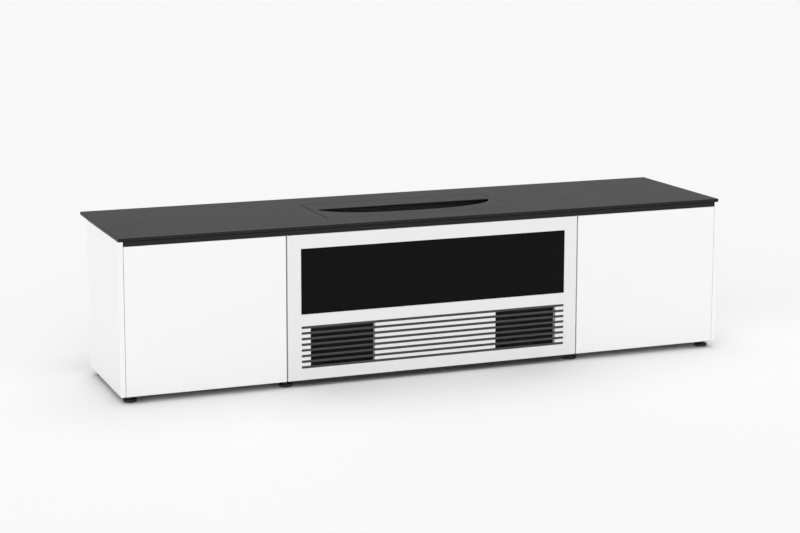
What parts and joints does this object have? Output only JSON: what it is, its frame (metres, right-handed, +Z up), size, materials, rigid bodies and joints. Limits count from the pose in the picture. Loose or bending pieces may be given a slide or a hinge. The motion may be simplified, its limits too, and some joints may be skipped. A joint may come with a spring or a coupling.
{
  "type": "projector media cabinet",
  "caption": "Low, long media cabinet with two side doors, a centre drop-down front with speaker grille and vents, and a top with a projector lens opening.",
  "frame": {"origin": "on the floor, under the middle of the top panel's rectangle", "axes": "+X to the right along the cabinet's length, -Y out of the front, +Z up"},
  "size_m": [2.2, 0.553, 0.5457],
  "materials": {
    "gloss_white_lacquer": "high-gloss white lacquer on MDF",
    "charcoal_laminate": "matt charcoal compact laminate with a black core",
    "dark_board": "matt grey melamine-faced board",
    "black_cloth": "woven acoustic cloth",
    "dark_anodised_bar": "satin dark anodised",
    "black_plastic": "moulded, fine matt texture",
    "bright_steel": "zinc plated",
    "black_steel": "black powder coat"
  },
  "bodies": {
    "carcass": {"top_panel": "charcoal_laminate", "sub_top": "charcoal_laminate", "bottom_panel": "dark_board", "left_side_panel": "gloss_white_lacquer", "right_side_panel": "gloss_white_lacquer", "left_divider": "dark_board", "right_divider": "dark_board", "left_back_panel": "dark_board", "center_back_panel": "dark_board", "right_back_panel": "dark_board", "left_shelf": "dark_board", "right_shelf": "dark_board", "speaker_shelf": "dark_board", "left_tray_rail": "bright_steel", "right_tray_rail": "bright_steel", "left_door_latch_body": "black_plastic", "right_door_latch_body": "black_plastic", "flap_latch_body": "black_plastic", "left_top_pivot": "black_steel", "left_bottom_pivot": "black_steel", "right_top_pivot": "black_steel", "right_bottom_pivot": "black_steel", "flap_hinge_fixed_leaf": "black_steel", "flap_hinge_pin": "bright_steel", "flap_hinge_spacer": "black_steel", "left_cable_grommet": "black_plastic", "right_cable_grommet": "black_plastic"},
    "lens_insert": {"lens_insert": "charcoal_laminate"},
    "left_door": {"left_door": "gloss_white_lacquer"},
    "right_door": {"right_door": "gloss_white_lacquer"},
    "center_flap": {"center_flap": "gloss_white_lacquer", "flap_hinge_moving_leaf": "black_steel", "vent_bar_1": "dark_anodised_bar", "vent_bar_2": "dark_anodised_bar", "vent_bar_3": "dark_anodised_bar", "vent_bar_4": "dark_anodised_bar", "vent_bar_5": "dark_anodised_bar", "vent_bar_6": "dark_anodised_bar", "vent_bar_7": "dark_anodised_bar", "vent_bar_8": "dark_anodised_bar", "left_vent_screen": "black_plastic", "right_vent_screen": "black_plastic"},
    "speaker_grille": {"speaker_grille_frame": "black_plastic", "speaker_grille_cloth": "black_cloth"},
    "projector_tray": {"projector_tray": "black_steel"},
    "left_door_latch_plunger": {"left_door_latch_plunger": "bright_steel"},
    "right_door_latch_plunger": {"right_door_latch_plunger": "bright_steel"},
    "flap_latch_plunger": {"flap_latch_plunger": "bright_steel"},
    "front_left_foot": {"front_left_foot": "black_plastic"},
    "front_left_middle_foot": {"front_left_middle_foot": "black_plastic"},
    "front_right_middle_foot": {"front_right_middle_foot": "black_plastic"},
    "front_right_foot": {"front_right_foot": "black_plastic"},
    "rear_left_foot": {"rear_left_foot": "black_plastic"},
    "rear_left_middle_foot": {"rear_left_middle_foot": "black_plastic"},
    "rear_right_middle_foot": {"rear_right_middle_foot": "black_plastic"},
    "rear_right_foot": {"rear_right_foot": "black_plastic"}
  },
  "joints": [
    {"name": "left_door_swing", "type": "hinge", "parent": "carcass", "child": "left_door", "pos_m": [-1.0728, -0.272, 0.024], "axis": [0, 0, -1], "range_deg": [0, 105]},
    {"name": "right_door_swing", "type": "hinge", "parent": "carcass", "child": "right_door", "pos_m": [1.0728, -0.272, 0.024], "axis": [0, 0, 1], "range_deg": [0, 105]},
    {"name": "center_flap_swing", "type": "hinge", "parent": "carcass", "child": "center_flap", "pos_m": [0, -0.272, 0.0195], "axis": [1, 0, 0], "range_deg": [0, 90]},
    {"name": "speaker_grille_pull", "type": "slide", "parent": "center_flap", "child": "speaker_grille", "axis": [0, -1, 0], "range_m": [0, 0.012]},
    {"name": "lens_insert_lift", "type": "slide", "parent": "carcass", "child": "lens_insert", "axis": [0, 0, 1], "range_m": [0, 0.02]},
    {"name": "projector_tray_slide", "type": "slide", "parent": "carcass", "child": "projector_tray", "axis": [0, -1, 0], "range_m": [-0.03, 0.03]},
    {"name": "left_door_latch_press", "type": "slide", "parent": "carcass", "child": "left_door_latch_plunger", "axis": [0, 1, 0], "range_m": [0, 0.0025], "stiffness_N_per_m": 1500},
    {"name": "right_door_latch_press", "type": "slide", "parent": "carcass", "child": "right_door_latch_plunger", "axis": [0, 1, 0], "range_m": [0, 0.0025], "stiffness_N_per_m": 1500},
    {"name": "flap_latch_press", "type": "slide", "parent": "carcass", "child": "flap_latch_plunger", "axis": [0, 1, 0], "range_m": [0, 0.0025], "stiffness_N_per_m": 1500},
    {"name": "front_left_foot_turn", "type": "hinge", "parent": "carcass", "child": "front_left_foot", "pos_m": [-1.0625, -0.2385, 0], "axis": [0, 0, 1], "continuous": true},
    {"name": "front_left_middle_foot_turn", "type": "hinge", "parent": "carcass", "child": "front_left_middle_foot", "pos_m": [-0.53, -0.2385, 0], "axis": [0, 0, 1], "continuous": true},
    {"name": "front_right_middle_foot_turn", "type": "hinge", "parent": "carcass", "child": "front_right_middle_foot", "pos_m": [0.53, -0.2385, 0], "axis": [0, 0, 1], "continuous": true},
    {"name": "front_right_foot_turn", "type": "hinge", "parent": "carcass", "child": "front_right_foot", "pos_m": [1.0625, -0.2385, 0], "axis": [0, 0, 1], "continuous": true},
    {"name": "rear_left_foot_turn", "type": "hinge", "parent": "carcass", "child": "rear_left_foot", "pos_m": [-1.0625, 0.1255, 0], "axis": [0, 0, 1], "continuous": true},
    {"name": "rear_left_middle_foot_turn", "type": "hinge", "parent": "carcass", "child": "rear_left_middle_foot", "pos_m": [-0.53, 0.1255, 0], "axis": [0, 0, 1], "continuous": true},
    {"name": "rear_right_middle_foot_turn", "type": "hinge", "parent": "carcass", "child": "rear_right_middle_foot", "pos_m": [0.53, 0.1255, 0], "axis": [0, 0, 1], "continuous": true},
    {"name": "rear_right_foot_turn", "type": "hinge", "parent": "carcass", "child": "rear_right_foot", "pos_m": [1.0625, 0.1255, 0], "axis": [0, 0, 1], "continuous": true}
  ]
}
